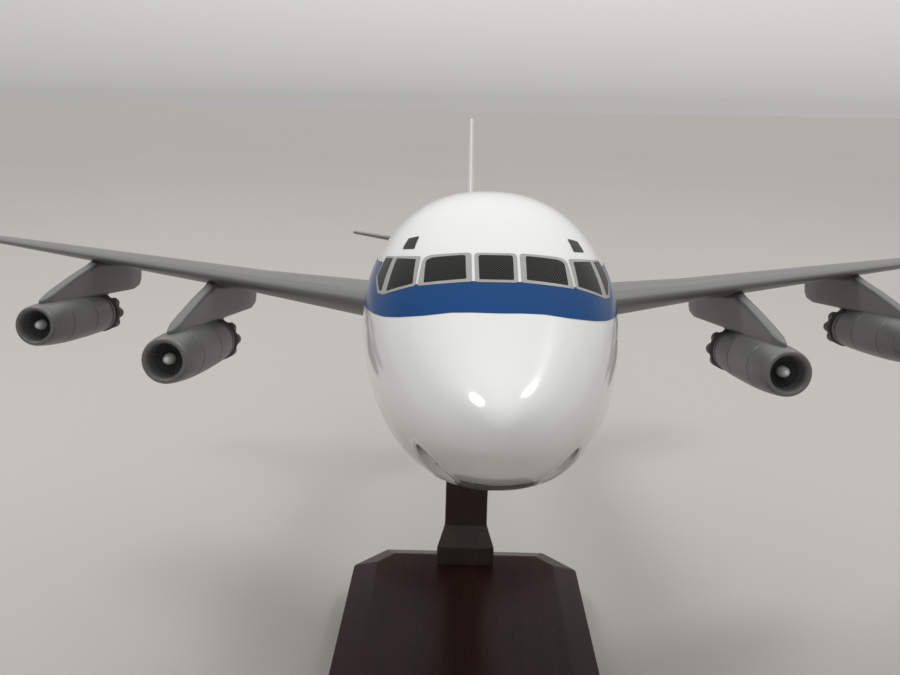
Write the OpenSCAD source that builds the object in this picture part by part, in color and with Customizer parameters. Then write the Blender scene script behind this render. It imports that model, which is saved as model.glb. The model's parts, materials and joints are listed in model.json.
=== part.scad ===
// Desktop airliner model: a four-engined jetliner, nose up, on a wooden stand.
// The aircraft is drawn level in its own axes: x to port, y aft from the nose tip, z up from
// mid-height of the fuselage. in_flight() then lifts it onto the stand.
// The stand is centred on the origin, underside at z = 0, and the nose points along -Y.

/* [Stand] */
// Width of the base board
base_w = 101.6; // [95:0.1:110]
// Length of the base board
base_len = 152.4; // [140:0.1:170]
// Thickness of the base board
base_t = 19; // [17:0.5:24]
// Width of the bevel around the top of the board
bevel_w = 11; // [6:0.5:12]
// Depth of that bevel
bevel_h = 5; // [3:0.5:7]
// Length cut off each corner of the board
corner_cut = 14; // [12:0.5:18]
// Thickness of the felt under the board
felt_t = 1; // [0.5:0.1:1.5]
// Width of the post's foot, where it stands on the board
foot_w = 25.8; // [24:0.1:30]
// Width of the post just above its foot
post_w = 18.8; // [17:0.1:20]
// Width of the post at its top
post_top_w = 15.4; // [15:0.1:17]
// Depth of the post, front to back, above its foot
post_d = 16; // [14:0.5:18]
// Height of the post's top above the board
post_h = 118.2; // [110:0.1:130]
// How far the post's top stands forward of its foot
post_lean = 51.1; // [40:0.1:56]

/* [Swivel] */
// Angle by which the aircraft climbs
attitude = 10; // [5:0.5:12]
// Diameter of the steel peg
peg_d = 4; // [3.5:0.1:4.5]
// Radial clearance of the peg in its two bushes
peg_fit = 0.05; // [0.03:0.01:0.1]
// Outer diameter of both bushes
bush_d = 7; // [6.5:0.1:8]
// Depth of both bushes
bush_len = 14; // [10:1:14]
// Thickness of the collar between the post and the belly
collar_t = 1.5; // [1:0.1:2]

/* [Fuselage] */
// Nose tip to tail cone tip
body_len = 456; // [450:1:462]
// Half width of the parallel part
body_hw = 18.65; // [18:0.05:19]
// Half height of the parallel part
body_hh = 20.75; // [20:0.05:21]
// Height of the nose tip, below mid-height
nose_drop = 7.2; // [6:0.1:8]
// How far aft the tail begins to taper
tail_start = 290; // [280:1:300]
// Height of the tail cone's tip
tail_rise = 9; // [7:0.5:11]
// Thickness of the shells
shell_t = 2.2; // [2:0.1:2.5]
// Where the peg enters the belly, aft of the nose
socket_y = 212; // [206:1:220]

/* [Wing] */
// Wing tip to the middle of the fuselage
half_span = 217; // [212:1:222]
// Leading edge at the side of the fuselage, aft of the nose
wing_y = 134.6; // [133:0.1:137]
// Height of the leading edge there
wing_z = -5.6; // [-7:0.1:-5]
// Chord at the side of the fuselage
root_chord = 104; // [100:1:108]
// Chord at the bend in the trailing edge
kink_chord = 66; // [62:1:70]
// Chord at the tip
tip_chord = 25; // [20:1:28]
// Distance out to that bend
kink_x = 70; // [65:1:75]
// Sweep of the leading edge, as aft travel per unit of span
wing_sweep = 0.7; // [0.64:0.01:0.76]
// Dihedral, as rise per unit of span
wing_rise = 0.082; // [0.07:0.002:0.09]
// Nose-up angle of the wing root, which fades to nothing at the tip
root_incidence = 2; // [1:0.1:2.5]

/* [Tail] */
// Tailplane tip to the middle of the fuselage
tail_half_span = 73; // [70:1:76]
// Height of the fin's tip
fin_top = 86.5; // [84:0.5:90]

/* [Engines] */
// Distance out to the inboard engines
inner_x = 85; // [83:0.5:88]
// Distance out to the outboard engines
outer_x = 140.3; // [138:0.1:142]
// Overall length of a nacelle
nacelle_len = 52; // [50:0.5:54]
// Radius of the intake lip
lip_r = 6.6; // [6.3:0.1:6.8]
// Largest radius of the cowl
cowl_r = 7.4; // [7.2:0.1:7.8]
// Thickness of the pylons
pylon_t = 3.2; // [2.6:0.1:4]

/* [Hidden] */
$fn = 48;
eps = 0.01;

// Stand
board_z = felt_t;
deck_z = board_z + base_t;
foot_front_y = base_len / 2 - 19.6;
foot_step_h = 8.6;
waist_h = 18;
foot_slope = (foot_w - post_w) / 2;
post_foot_y = foot_front_y + foot_slope + post_d / 2;
post_top_y = post_foot_y - post_lean;
post_top_z = deck_z + post_h;
tenon_z = board_z + 5;
post_steps = 24;
screw_ys = [foot_front_y + 5.5, foot_front_y + 14];
screw_r = 1.75;
screw_head_r = 3.2;
screw_len = 21;

// Swivel: the peg's axis is square to the belly, and passes through the post's top
bush_bore_r = peg_d / 2 + peg_fit;
peg_free = 12;
collar_r = 4.6;
collar_gap = 0.1;

// Fuselage
nose_stations = 16;
tail_stations = 11;
arc_steps = 18;
tail_len = body_len - tail_start;
cavity_y0 = 14;
cavity_y1 = 424;

// Joints between the aircraft's own pieces
spar_y = 173;
spar_w = 14;
spar_t = 3.2;
spar_z = -6;
spar_half = 44;
block_l = 26;
block_w = 16;
block_top = -6;
fin_tab = [2, 24, 9];
fin_tab_y = 396;
tail_bar = [30, 12, 1.8];
tail_bar_y = 405;
tail_bar_z = 8.1;
tab_fit = 0.1;
root_gap = 0.08;

// Engines: distance out, inlet aft of the nose, height of the axis, how far the pylon runs aft of
// the inlet, and the height of the wing's middle above the axis at the pylon's aft end
ENGINES = [
    [outer_x, 178.5, -16.9, 90, 20.7],
    [inner_x, 141.3, -21.5, 99, 20.1],
    [-inner_x, 141.3, -21.5, 99, 20.1],
    [-outer_x, 178.5, -16.9, 90, 20.7]
];
lip_len = 2;
lip_t = 1.9;
duct_r = lip_r - lip_t;
duct_depth = 9;
nozzle_len = 4.5;
nozzle_r = 7;
nozzle_lobes = 8;
tailpipe_r = 4.6;
tailpipe_depth = 8;

function unit(t) = min(max(t, 0), 1);
function mix(a, b, t) = a + (b - a) * t;

// Fuselage lines: each gives one measure of the cross-section at y
function tail_t(y) = unit((y - tail_start) / tail_len);
function half_width(y) =
    body_hw * pow(1 - pow(unit(1 - y / 48), 1.65), 1 / 1.8) * pow(1 - pow(tail_t(y), 1.7), 0.8);
function widest_z(y) =
    -nose_drop * (1 + cos(180 * unit(y / 40))) / 2 + tail_rise * pow(tail_t(y), 1.8);
function keel_z(y) =
    -nose_drop - (body_hh - nose_drop) * pow(1 - pow(unit(1 - y / 58), 2), 1 / 1.7)
    + (body_hh + tail_rise) * pow(tail_t(y), 1.6);
// The crown dips ahead of the windscreen and swells behind it
function windscreen_dip(y) = 5.8 * (1 - cos(360 * pow(unit(y / 57), 0.45))) / 2;
function crown_z(y) =
    -nose_drop + (body_hh + nose_drop) * sqrt(1 - pow(unit(1 - y / 66.5), 2))
    - windscreen_dip(y) - (body_hh - tail_rise) * pow(tail_t(y), 2.2);
function upper_power(y) = mix(2.2, 2.33, unit(y / 75));
function lower_power(y) = mix(2.15, 1.93, unit(y / 75));

// One point of the section at y, a degrees up from the widest line, drawn in by wall t
function body_point(y, a, t) =
    let (n = a < 0 ? lower_power(y) : upper_power(y),
         mid = widest_z(y),
         reach = a < 0 ? mid - keel_z(y) - t : crown_z(y) - mid - t,
         side = a < 0 ? -1 : 1)
    [(half_width(y) - t) * pow(max(cos(a), 0), 2 / n), y,
     mid + side * reach * pow(abs(sin(a)), 2 / n)];
function half_ring(y, t) =
    [for (i = [0:arc_steps]) body_point(y, -90 + 180 * i / arc_steps, t)];
function full_ring(y, t) =
    let (port = half_ring(y, t))
    concat(port, [for (i = [arc_steps - 1:-1:1]) [-port[i][0], y, port[i][2]]]);
// Half width of the section at height z, and height of its upper surface at distance x out
function side_x(y, z) =
    let (mid = widest_z(y),
         n = z < mid ? lower_power(y) : upper_power(y),
         reach = z < mid ? mid - keel_z(y) : crown_z(y) - mid)
    half_width(y) * pow(1 - pow(unit(abs(z - mid) / reach), n), 1 / n);
function top_z(y, x) =
    let (n = upper_power(y), mid = widest_z(y))
    mid + (crown_z(y) - mid) * pow(1 - pow(unit(abs(x) / half_width(y)), n), 1 / n);
function nose_ys(y0) =
    [for (i = [0:nose_stations]) y0 + (75 - y0) * pow(i / nose_stations, 2)];
function tail_ys(y1) =
    [for (i = [0:tail_stations]) mix(tail_start, y1, 1 - pow(1 - i / tail_stations, 1.4))];

// Aerofoil of unit chord: thickness at x, and a loop over the top and back underneath
function half_thickness(x) =
    5 * (0.2969 * sqrt(x) - 0.126 * x - 0.3516 * x * x + 0.2843 * pow(x, 3) - 0.1015 * pow(x, 4));
foil_steps = 9;
function foil_x(i) = (1 - cos(180 * i / foil_steps)) / 2;
function foil(t, edge) = concat(
    [for (i = [foil_steps:-1:0]) [foil_x(i), t * half_thickness(foil_x(i)) + edge * foil_x(i)]],
    [for (i = [1:foil_steps]) [foil_x(i), -t * half_thickness(foil_x(i)) - edge * foil_x(i)]]);

// Wing measures at distance x out
function leading_y(x) = wing_y + wing_sweep * (x - body_hw);
function leading_z(x) = wing_z + wing_rise * (x - body_hw);
function chord(x) = x < kink_x
    ? mix(root_chord, kink_chord, (x - body_hw) / (kink_x - body_hw))
    : mix(kink_chord, tip_chord, (x - kink_x) / (half_span - kink_x));
function wing_ring(x, shrink) =
    let (c = chord(x) * shrink,
         y0 = leading_y(x) + chord(x) * (1 - shrink) * 0.4,
         twist = root_incidence * (1 - x / half_span),
         t = mix(0.115, 0.095, x / half_span))
    [for (p = foil(t * shrink, 0.3 / c))
        [x, y0 + c * p[0] * cos(twist), leading_z(x) + c * (p[1] - p[0] * sin(twist))]];
function wing_rings() = [
    for (x = [9, body_hw, 44, kink_x, 100, 130, 160, 186, half_span - 4]) wing_ring(x, 1),
    wing_ring(half_span - 1.2, 0.86), wing_ring(half_span, 0.62)
];
// Height of the wing's underside at x and y
function wing_under(x, y) =
    let (c = chord(x), u = unit((y - leading_y(x)) / c), t = mix(0.115, 0.095, x / half_span))
    leading_z(x) - 0.3 * u
    - c * (t * lookup(u, [for (i = [0:foil_steps]) [foil_x(i), half_thickness(foil_x(i))]])
           + u * sin(root_incidence * (1 - x / half_span)));

// Flat-sided tail surfaces: leading edge and chord run straight from the root to the tip
function plane_ring(x, shrink) =
    let (u = x / tail_half_span,
         c = mix(50, 20, u) * shrink,
         y0 = mix(380, 427.5, u) + mix(50, 20, u) * (1 - shrink) * 0.4,
         z = mix(6.5, 17.2, u))
    [for (p = foil(0.09 * shrink, 0.25 / c)) [x, y0 + c * p[0], z + c * p[1]]];
function plane_root() =
    [for (p = plane_ring(10.5, 1)) [side_x(p[1], p[2]) + root_gap, p[1], p[2]]];
function fin_ring(z, shrink) =
    let (u = z / fin_top,
         c = mix(70, 27, u) * shrink,
         y0 = mix(359, 418, u) + mix(70, 27, u) * (1 - shrink) * 0.4)
    [for (p = foil(0.1 * shrink, 0.25 / c)) [c * p[1], y0 + c * p[0], z]];
fin_root_y = 371.7;
fin_root_chord = 59.6;
function fin_root() =
    [for (p = foil(0.1, 0.25 / fin_root_chord))
        let (x = fin_root_chord * p[1], y = fin_root_y + fin_root_chord * p[0])
            [x, y, top_z(y, x) + root_gap]];

// Closed solid through rings of equally many points, with flat ends
function loft_sides(rings) =
    let (n = len(rings[0]))
    [for (i = [0:len(rings) - 2], j = [0:n - 1])
        let (a = i * n + j, b = i * n + (j + 1) % n)
        each [[a, b, b + n], [a, b + n, a + n]]];
module loft(rings) {
    n = len(rings[0]);
    last = (len(rings) - 1) * n;
    ends = [[for (j = [n - 1:-1:0]) j], [for (j = [0:n - 1]) last + j]];
    polyhedron([for (ring = rings) each ring], concat(loft_sides(rings), ends));
}

// The same through aerofoils, whose ends are filled across from top to bottom
module foil_loft(rings) {
    last = (len(rings) - 1) * (2 * foil_steps + 1);
    ends = [
        for (k = [0:foil_steps - 1])
            let (a = k, b = k + 1, c = 2 * foil_steps - k - 1, d = 2 * foil_steps - k)
            each b == c
                ? [[d, b, a], [last + a, last + b, last + d]]
                : [[d, c, b], [d, b, a], [last + b, last + c, last + d], [last + a, last + b, last + d]]
    ];
    polyhedron([for (ring = rings) each ring], concat(loft_sides(rings), ends));
}

// Box with its middle at p
module block_at(p, size) {
    translate(p) cube(size, center = true);
}

// Lifts the level aircraft onto the peg
module in_flight() {
    translate([0, post_top_y, post_top_z])
        rotate([-attitude, 0, 0])
            translate([0, -socket_y, body_hh + collar_t + collar_gap])
                children();
}

// Peg axis: local z runs up the axis from the top of the post
module on_peg_axis() {
    translate([0, post_top_y, post_top_z]) rotate([-attitude, 0, 0]) children();
}

// ---- Stand ----

// Outline of the board, with its corners cut, drawn in by d
function board_outline(d, z) =
    let (a = base_w / 2 - d, b = base_len / 2 - d, c = corner_cut - d * (2 - sqrt(2)))
    [[a, -b + c, z], [a, b - c, z], [a - c, b, z], [-a + c, b, z],
     [-a, b - c, z], [-a, -b + c, z], [-a + c, -b, z], [a - c, -b, z]];

module felt_pad() {
    color("#2b2a28")
        translate([0, 0, felt_t])
            mirror([0, 0, 1])
                linear_extrude(felt_t)
                    polygon([for (p = board_outline(2, 0)) [p[0], p[1]]]);
}

// The middle of the post above the board: a gentle S from the foot forward to the top
function post_y(h) =
    let (u = unit((h - waist_h) / (post_h - waist_h - bush_len)))
    post_foot_y - post_lean * (0.25 * u + 0.75 * (1 - cos(180 * u)) / 2);
function post_side(side) = [
    for (i = [0:post_steps])
        let (h = mix(waist_h, post_h + 6, i / post_steps))
        [post_y(h) + side * post_d / 2, deck_z + h]
];

// The post seen from its side, as y and z
module post_profile() {
    front = post_side(-1);
    back = post_side(1);
    foot = [[base_len / 2, tenon_z], [foot_front_y + foot_slope, tenon_z]];
    polygon(concat(foot, front, [for (i = [post_steps:-1:0]) back[i]],
                   [[base_len / 2, deck_z + waist_h - 4]]));
}

// The post seen from the front, as x and z
module post_front() {
    polygon([
        [-post_w / 2, 0], [post_w / 2, 0], [post_w / 2, deck_z + waist_h],
        [post_top_w / 2, post_top_z + 8], [-post_top_w / 2, post_top_z + 8],
        [-post_w / 2, deck_z + waist_h]
    ]);
}

// The step and slope at the front of the foot, which narrow towards the back of the board
module post_foot() {
    back_y = foot_front_y + bevel_w - 2;
    hull() {
        translate([-foot_w / 2, foot_front_y, deck_z]) cube([foot_w, eps, foot_step_h]);
        translate([-post_w / 2, foot_front_y + foot_slope, deck_z]) cube([post_w, eps, waist_h]);
        translate([-post_w / 2, back_y, deck_z]) cube([post_w, eps, waist_h]);
    }
}

module post() {
    color("#2a201c")
        difference() {
            union() {
                intersection() {
                    rotate([90, 0, 90])
                        linear_extrude(2 * foot_w, center = true) post_profile();
                    rotate([90, 0, 0]) linear_extrude(2 * base_len, center = true) post_front();
                }
                post_foot();
            }
            on_peg_axis() translate([-50, -50, 0]) cube([100, 100, 50]);
            on_peg_axis() translate([0, 0, -bush_len]) cylinder(h = 2 * bush_len, d = bush_d);
            for (y = screw_ys) translate([0, y, 0]) cylinder(h = screw_len + 4, r = screw_r);
        }
}

module base_board() {
    color("#35181a")
        difference() {
            loft([board_outline(0, board_z), board_outline(0, deck_z - bevel_h),
                  board_outline(bevel_w, deck_z)]);
            translate([-post_w / 2, foot_front_y + foot_slope, tenon_z])
                cube([post_w, base_len, base_t]);
            for (y = screw_ys) {
                translate([0, y, 0]) cylinder(h = base_t, r = screw_r + 0.25);
                translate([0, y, board_z - eps])
                    cylinder(h = 3, r1 = screw_head_r + 0.35, r2 = screw_r + 0.2);
            }
        }
}

module post_screws() {
    color("silver")
        for (y = screw_ys)
            translate([0, y, board_z + 0.1])
                rotate_extrude()
                    polygon([[0, 0], [screw_head_r, 0], [screw_head_r, 0.2], [screw_r, 2.4],
                             [screw_r, screw_len - 3], [0, screw_len]]);
}

module bush() {
    rotate_extrude()
        translate([bush_bore_r, 0]) square([bush_d / 2 - bush_bore_r, bush_len]);
}

module post_bush() {
    color("#b08d57") on_peg_axis() translate([0, 0, -bush_len]) bush();
}

// The peg turns in the post's bush, and the belly's bush drops over its free end
module peg() {
    color("silver")
        on_peg_axis()
            rotate_extrude()
                polygon([
                    [0, -bush_len + 0.5], [peg_d / 2, -bush_len + 0.5], [peg_d / 2, 0], [collar_r, 0],
                    [collar_r, collar_t], [peg_d / 2, collar_t], [peg_d / 2, collar_t + peg_free],
                    [peg_d / 2 - 0.8, collar_t + peg_free + 0.8], [0, collar_t + peg_free + 0.8]
                ]);
}

// ---- Fuselage ----

module half_body() {
    loft([
        for (y = nose_ys(0.05)) half_ring(y, 0),
        for (y = tail_ys(body_len - 0.3)) half_ring(y, 0)
    ]);
}

module whole_body() {
    half_body();
    mirror([1, 0, 0]) half_body();
}

module cavity() {
    loft([
        for (y = [cavity_y0, 18, 24, 32, 42, 56, 75]) full_ring(y, shell_t),
        for (y = [tail_start, 320, 350, 380, 405, cavity_y1]) full_ring(y, shell_t)
    ]);
}

// The bars and the tab that pass through the shells
module spar_bar(fit) {
    block_at([0, spar_y, spar_z],
             [2 * spar_half + 2 * fit, spar_w + 2 * fit, spar_t + 2 * fit]);
}

module fin_tab_bar(fit) {
    block_at([0, fin_tab_y + fin_tab[1] / 2, crown_z(fin_tab_y) - fin_tab[2] / 2 + 4],
             [fin_tab[0] + 2 * fit, fin_tab[1] + 2 * fit, fin_tab[2]]);
}

module tail_spar_bar(fit) {
    block_at([0, tail_bar_y, tail_bar_z],
             [tail_bar[0] + 2 * fit, tail_bar[1] + 2 * fit, tail_bar[2] + 2 * fit]);
}

module socket_hole(fit) {
    translate([0, socket_y, -body_hh - 1]) cylinder(h = bush_len + 1 + fit, d = bush_d);
}

// One half of the fuselage, split down the middle
module shell() {
    difference() {
        half_body();
        cavity();
        spar_bar(tab_fit);
        fin_tab_bar(tab_fit);
        tail_spar_bar(tab_fit);
        socket_hole(0);
    }
}

module fuselage_port() {
    color("white") in_flight() shell();
}

module fuselage_starboard() {
    color("white") in_flight() mirror([1, 0, 0]) shell();
}

// Wooden block inside the belly that holds the bush
module socket_block() {
    color("burlywood")
        in_flight()
            difference() {
                intersection() {
                    block_at([0, socket_y, block_top - 10], [block_w, block_l, 20]);
                    loft([for (y = [socket_y - block_l, socket_y + block_l])
                        full_ring(y, shell_t + tab_fit)]);
                }
                socket_hole(0);
            }
}

module belly_bush() {
    color("#b08d57") in_flight() translate([0, socket_y, -body_hh]) bush();
}

// ---- Wing and tail ----

module wing_spar() {
    color("silver") in_flight() spar_bar(0);
}

module tail_spar() {
    color("silver") in_flight() tail_spar_bar(0);
}

module wing() {
    difference() {
        foil_loft(wing_rings());
        loft([full_ring(wing_y - 20, 0), full_ring(wing_y + root_chord + 20, 0)]);
        spar_bar(tab_fit);
    }
}

module wing_port() {
    color("#767674") in_flight() wing();
}

module wing_starboard() {
    color("#767674") in_flight() mirror([1, 0, 0]) wing();
}

module tailplane() {
    difference() {
        foil_loft([plane_root(), plane_ring(tail_half_span - 2, 1),
                   plane_ring(tail_half_span - 0.6, 0.86), plane_ring(tail_half_span, 0.62)]);
        tail_spar_bar(tab_fit);
    }
}

module tailplane_port() {
    color("#767674") in_flight() tailplane();
}

module tailplane_starboard() {
    color("#767674") in_flight() mirror([1, 0, 0]) tailplane();
}

module fin() {
    color("white")
        in_flight() {
            foil_loft([fin_root(), fin_ring(fin_top - 2, 1),
                       fin_ring(fin_top - 0.6, 0.9), fin_ring(fin_top, 0.7)]);
            fin_tab_bar(0);
        }
}

// ---- Engines, numbered from port outboard ----

// Local z runs aft from the middle of the inlet
module at_engine(i) {
    e = ENGINES[i - 1];
    in_flight() translate([e[0], e[1], e[2]]) rotate([-90, 0, 0]) children();
}

// Outer surface of the cowl, as radius and distance aft
function cowl_side() = [
    [lip_r, lip_len], [lip_r + 0.45, 6], [cowl_r - 0.05, 13], [cowl_r, 21], [cowl_r - 0.1, 31],
    [cowl_r - 0.55, 41], [cowl_r - 0.9, nacelle_len - nozzle_len - 1.2]
];
neck_r = cowl_r - 1.7;

module cowl_solid() {
    rotate_extrude()
        polygon(concat([[0, lip_len]], cowl_side(),
                       [[neck_r, nacelle_len - nozzle_len - 1.2], [neck_r, nacelle_len - nozzle_len],
                        [0, nacelle_len - nozzle_len]]));
}

module cowl(i) {
    color("#72716c")
        at_engine(i)
            difference() {
                cowl_solid();
                translate([0, 0, lip_len - 1]) cylinder(h = duct_depth - lip_len + 1, r = duct_r);
                translate([0, 0, nacelle_len - nozzle_len - tailpipe_depth])
                    cylinder(h = tailpipe_depth + 1, r = tailpipe_r);
            }
}

module intake_lip(i) {
    color("#a5a49f")
        at_engine(i)
            rotate_extrude()
                polygon([
                    for (a = [0:15:180])
                        [lip_r - lip_t / 2 + lip_t / 2 * cos(a), lip_len - lip_len * sin(a)]
                ]);
}

module fan(i) {
    nose_len = 4;
    blades = 14;
    color("#8d8c88")
        at_engine(i) {
            translate([0, 0, duct_depth - 1.4]) cylinder(h = 1.4, r = duct_r);
            translate([0, 0, duct_depth - 1.4 - nose_len])
                rotate_extrude()
                    polygon([for (k = [0:8]) [1.7 * sin(90 * k / 8), nose_len * (1 - cos(90 * k / 8))],
                             [0, nose_len]]);
            for (k = [0:blades - 1])
                rotate([0, 0, 360 * k / blades])
                    translate([1.2, -0.15, duct_depth - 2.4]) cube([duct_r - 1.3, 0.3, 1.1]);
        }
}

// The lobed ring around the jet pipe
module nozzle(i) {
    steps = 6 * nozzle_lobes;
    color("#5f5e5b")
        at_engine(i)
            translate([0, 0, nacelle_len - nozzle_len])
                linear_extrude(nozzle_len)
                    difference() {
                        polygon([
                            for (k = [0:steps - 1])
                                let (a = 360 * k / steps, r = nozzle_r - 0.45 * (1 - cos(nozzle_lobes * a)) / 2)
                                [r * cos(a), r * sin(a)]
                        ]);
                        circle(r = tailpipe_r);
                    }
}

module exhaust_cone(i) {
    root_z = nacelle_len - nozzle_len - tailpipe_depth;
    color("#4b4a48")
        at_engine(i)
            rotate_extrude()
                polygon([[0, root_z], [tailpipe_r, root_z], [tailpipe_r, root_z + 0.8],
                         [2.6, root_z + 1.4], [2.2, root_z + 6], [0, nacelle_len + 1.5]]);
}

// Radius of the nacelle at distance u aft of the inlet, and nothing beyond its end
function nacelle_r(u) =
    u > nacelle_len + 0.5 ? 0
    : max(lookup(u, [for (p = cowl_side()) [p[1], p[0]]]), u > nacelle_len - nozzle_len - 1.2 ? nozzle_r : 0);

// The pylon's own lines above the nacelle's axis, for one that ends at e[3]
function pylon_top(e, u) =
    lookup(u, [[4, 7.8], [15, 11.4], [27, 15], [40, 18.4], [52, 22], [e[3], 22]]);
function pylon_low(e, u) =
    lookup(u, [[nacelle_len, 6.9], [e[3] - 11, 7.3], [e[3] - 4, 8.6], [e[3] - 1, 11], [e[3], 15]]);
function pylon_half(e, u) =
    lookup(u, [[4, 0.3], [6, pylon_t * 0.36], [10, pylon_t / 2], [e[3] - 14, pylon_t / 2], [e[3], 0.35]]);
function pylon_ring(e, u) =
    let (w = pylon_half(e, u),
         r = nacelle_r(u),
         y = e[1] + u,
         low = [for (x = [-w, 0, w])
             e[2] + max(pylon_low(e, u), r > w ? sqrt(r * r - x * x) + root_gap : 0)],
         top = [for (x = [w, 0, -w])
             min(e[2] + pylon_top(e, u),
                 y > leading_y(abs(e[0]) + x) - 1 ? wing_under(abs(e[0]) + x, y) - root_gap : 99)])
    [[-w, y, low[0]], [0, y, low[1]], [w, y, low[2]],
     [w, y, max(top[0], low[2] + 0.1)], [0, y, max(top[1], low[1] + 0.1)],
     [-w, y, max(top[2], low[0] + 0.1)]];

// A blade from the top of the nacelle to the underside of the wing
module pylon(i) {
    e = ENGINES[i - 1];
    us = [4, 6, 8, 10, 13, 21, 27, 31, 36, 38, 39, 40, 41, 42, 43, 44, 46, 48, 50, 52, 52.6, 56, 64, 72,
          for (d = [14, 11, 7, 4, 2, 1, 0]) e[3] - d];
    color("#767674")
        in_flight()
            mirror([e[0] < 0 ? 1 : 0, 0, 0])
                translate([abs(e[0]), 0, 0])
                    loft([for (u = us) pylon_ring(e, u)]);
}

// ---- Nodes ----

felt_pad();
base_board();
post();
post_screws();
post_bush();
peg();
fuselage_port();
fuselage_starboard();
socket_block();
belly_bush();
wing_spar();
tail_spar();
wing_port();
wing_starboard();
fin();
tailplane_port();
tailplane_starboard();
pylon(1);  // pylon_1
pylon(2);  // pylon_2
pylon(3);  // pylon_3
pylon(4);  // pylon_4
cowl(1);  // cowl_1
cowl(2);  // cowl_2
cowl(3);  // cowl_3
cowl(4);  // cowl_4
intake_lip(1);  // intake_lip_1
intake_lip(2);  // intake_lip_2
intake_lip(3);  // intake_lip_3
intake_lip(4);  // intake_lip_4
fan(1);  // fan_1
fan(2);  // fan_2
fan(3);  // fan_3
fan(4);  // fan_4
nozzle(1);  // nozzle_1
nozzle(2);  // nozzle_2
nozzle(3);  // nozzle_3
nozzle(4);  // nozzle_4
exhaust_cone(1);  // exhaust_cone_1
exhaust_cone(2);  // exhaust_cone_2
exhaust_cone(3);  // exhaust_cone_3
exhaust_cone(4);  // exhaust_cone_4
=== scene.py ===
"""Looks for the desktop airliner model: smooth skins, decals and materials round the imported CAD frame."""
import json
import math

import bpy
import numpy as np
from mathutils import Matrix, Vector


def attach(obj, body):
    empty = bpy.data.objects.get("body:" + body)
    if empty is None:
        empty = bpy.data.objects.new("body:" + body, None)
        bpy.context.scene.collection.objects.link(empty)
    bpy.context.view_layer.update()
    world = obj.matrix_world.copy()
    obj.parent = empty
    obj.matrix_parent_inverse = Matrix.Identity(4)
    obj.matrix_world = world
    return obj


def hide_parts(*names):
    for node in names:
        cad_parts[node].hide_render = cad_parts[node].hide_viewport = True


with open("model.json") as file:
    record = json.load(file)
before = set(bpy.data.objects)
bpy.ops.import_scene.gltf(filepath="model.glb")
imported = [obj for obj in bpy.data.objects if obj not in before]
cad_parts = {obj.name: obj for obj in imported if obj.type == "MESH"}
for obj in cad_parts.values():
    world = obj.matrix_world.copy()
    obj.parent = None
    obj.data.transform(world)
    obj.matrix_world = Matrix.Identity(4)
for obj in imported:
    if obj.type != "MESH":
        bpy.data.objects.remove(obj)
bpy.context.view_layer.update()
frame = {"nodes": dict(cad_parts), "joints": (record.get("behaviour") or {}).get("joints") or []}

MM = 0.001
SIDES = {"port": 1, "starboard": -1}

# ---- the aircraft's own axes
# x to port, y aft from the nose tip, z up from mid-height of the fuselage, in millimetres.
# The peg's axis and the top of the post come from the frame's "turn" joint, and SOCKET is where the
# top of the post stands in these axes.
TURN = next(j for j in frame["joints"] if j["name"] == "turn")
POST_TOP = np.array(TURN["pos_m"]) / MM
PEG_AXIS = np.array(TURN["axis"])
SOCKET = np.array([0.0, 212.0, -22.35])
ATTITUDE = math.atan2(PEG_AXIS[1], PEG_AXIS[2])
TILT = np.array([[1, 0, 0],
                 [0, math.cos(ATTITUDE), math.sin(ATTITUDE)],
                 [0, -math.sin(ATTITUDE), math.cos(ATTITUDE)]])


def to_row(points):
    """Aircraft millimetres to metres in the row frame."""
    return ((np.asarray(points, float) - SOCKET) @ TILT.T + POST_TOP) * MM


# ---- fuselage lines, as in the CAD
BODY_LEN, BODY_HW, BODY_HH = 456.0, 18.65, 20.75
NOSE_DROP, TAIL_START, TAIL_RISE = 7.2, 290.0, 9.0
NOSE_END = 75.0


def stacked(*parts):
    """Arrays of coordinates as one array of points."""
    return np.stack(np.broadcast_arrays(*parts), -1)


def unit(t):
    return np.clip(t, 0.0, 1.0)


def mix(a, b, t):
    return a + (b - a) * t


def smooth(t):
    t = unit(t)
    return t * t * (3 - 2 * t)


def tail_t(y):
    return unit((y - TAIL_START) / (BODY_LEN - TAIL_START))


def half_width(y):
    nose = (1 - unit(1 - y / 48) ** 1.65) ** (1 / 1.8)
    return BODY_HW * nose * (1 - tail_t(y) ** 1.7) ** 0.8


def widest_z(y):
    nose = -NOSE_DROP * (1 + np.cos(np.pi * unit(y / 40))) / 2
    return nose + TAIL_RISE * tail_t(y) ** 1.8


def keel_z(y):
    nose = -NOSE_DROP - (BODY_HH - NOSE_DROP) * (1 - unit(1 - y / 58) ** 2) ** (1 / 1.7)
    return nose + (BODY_HH + TAIL_RISE) * tail_t(y) ** 1.6


def crown_z(y):
    nose = -NOSE_DROP + (BODY_HH + NOSE_DROP) * np.sqrt(1 - unit(1 - y / 66.5) ** 2)
    dip = 5.8 * (1 - np.cos(2 * np.pi * unit(y / 57) ** 0.45)) / 2
    return nose - dip - (BODY_HH - TAIL_RISE) * tail_t(y) ** 2.2


def section_power(y, above):
    s = unit(y / NOSE_END)
    return np.where(above, mix(2.2, 2.33, s), mix(2.15, 1.93, s))


def body_point(y, angle):
    """Surface point at y, angle in radians up from the widest line on the port side."""
    above = np.sin(angle) >= 0
    power = 2 / section_power(y, above)
    mid = widest_z(y)
    reach = np.where(above, crown_z(y) - mid, mid - keel_z(y))
    x = half_width(y) * np.sign(np.cos(angle)) * np.abs(np.cos(angle)) ** power
    z = mid + np.sign(np.sin(angle)) * reach * np.abs(np.sin(angle)) ** power
    return stacked(x, y, z)


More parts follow.
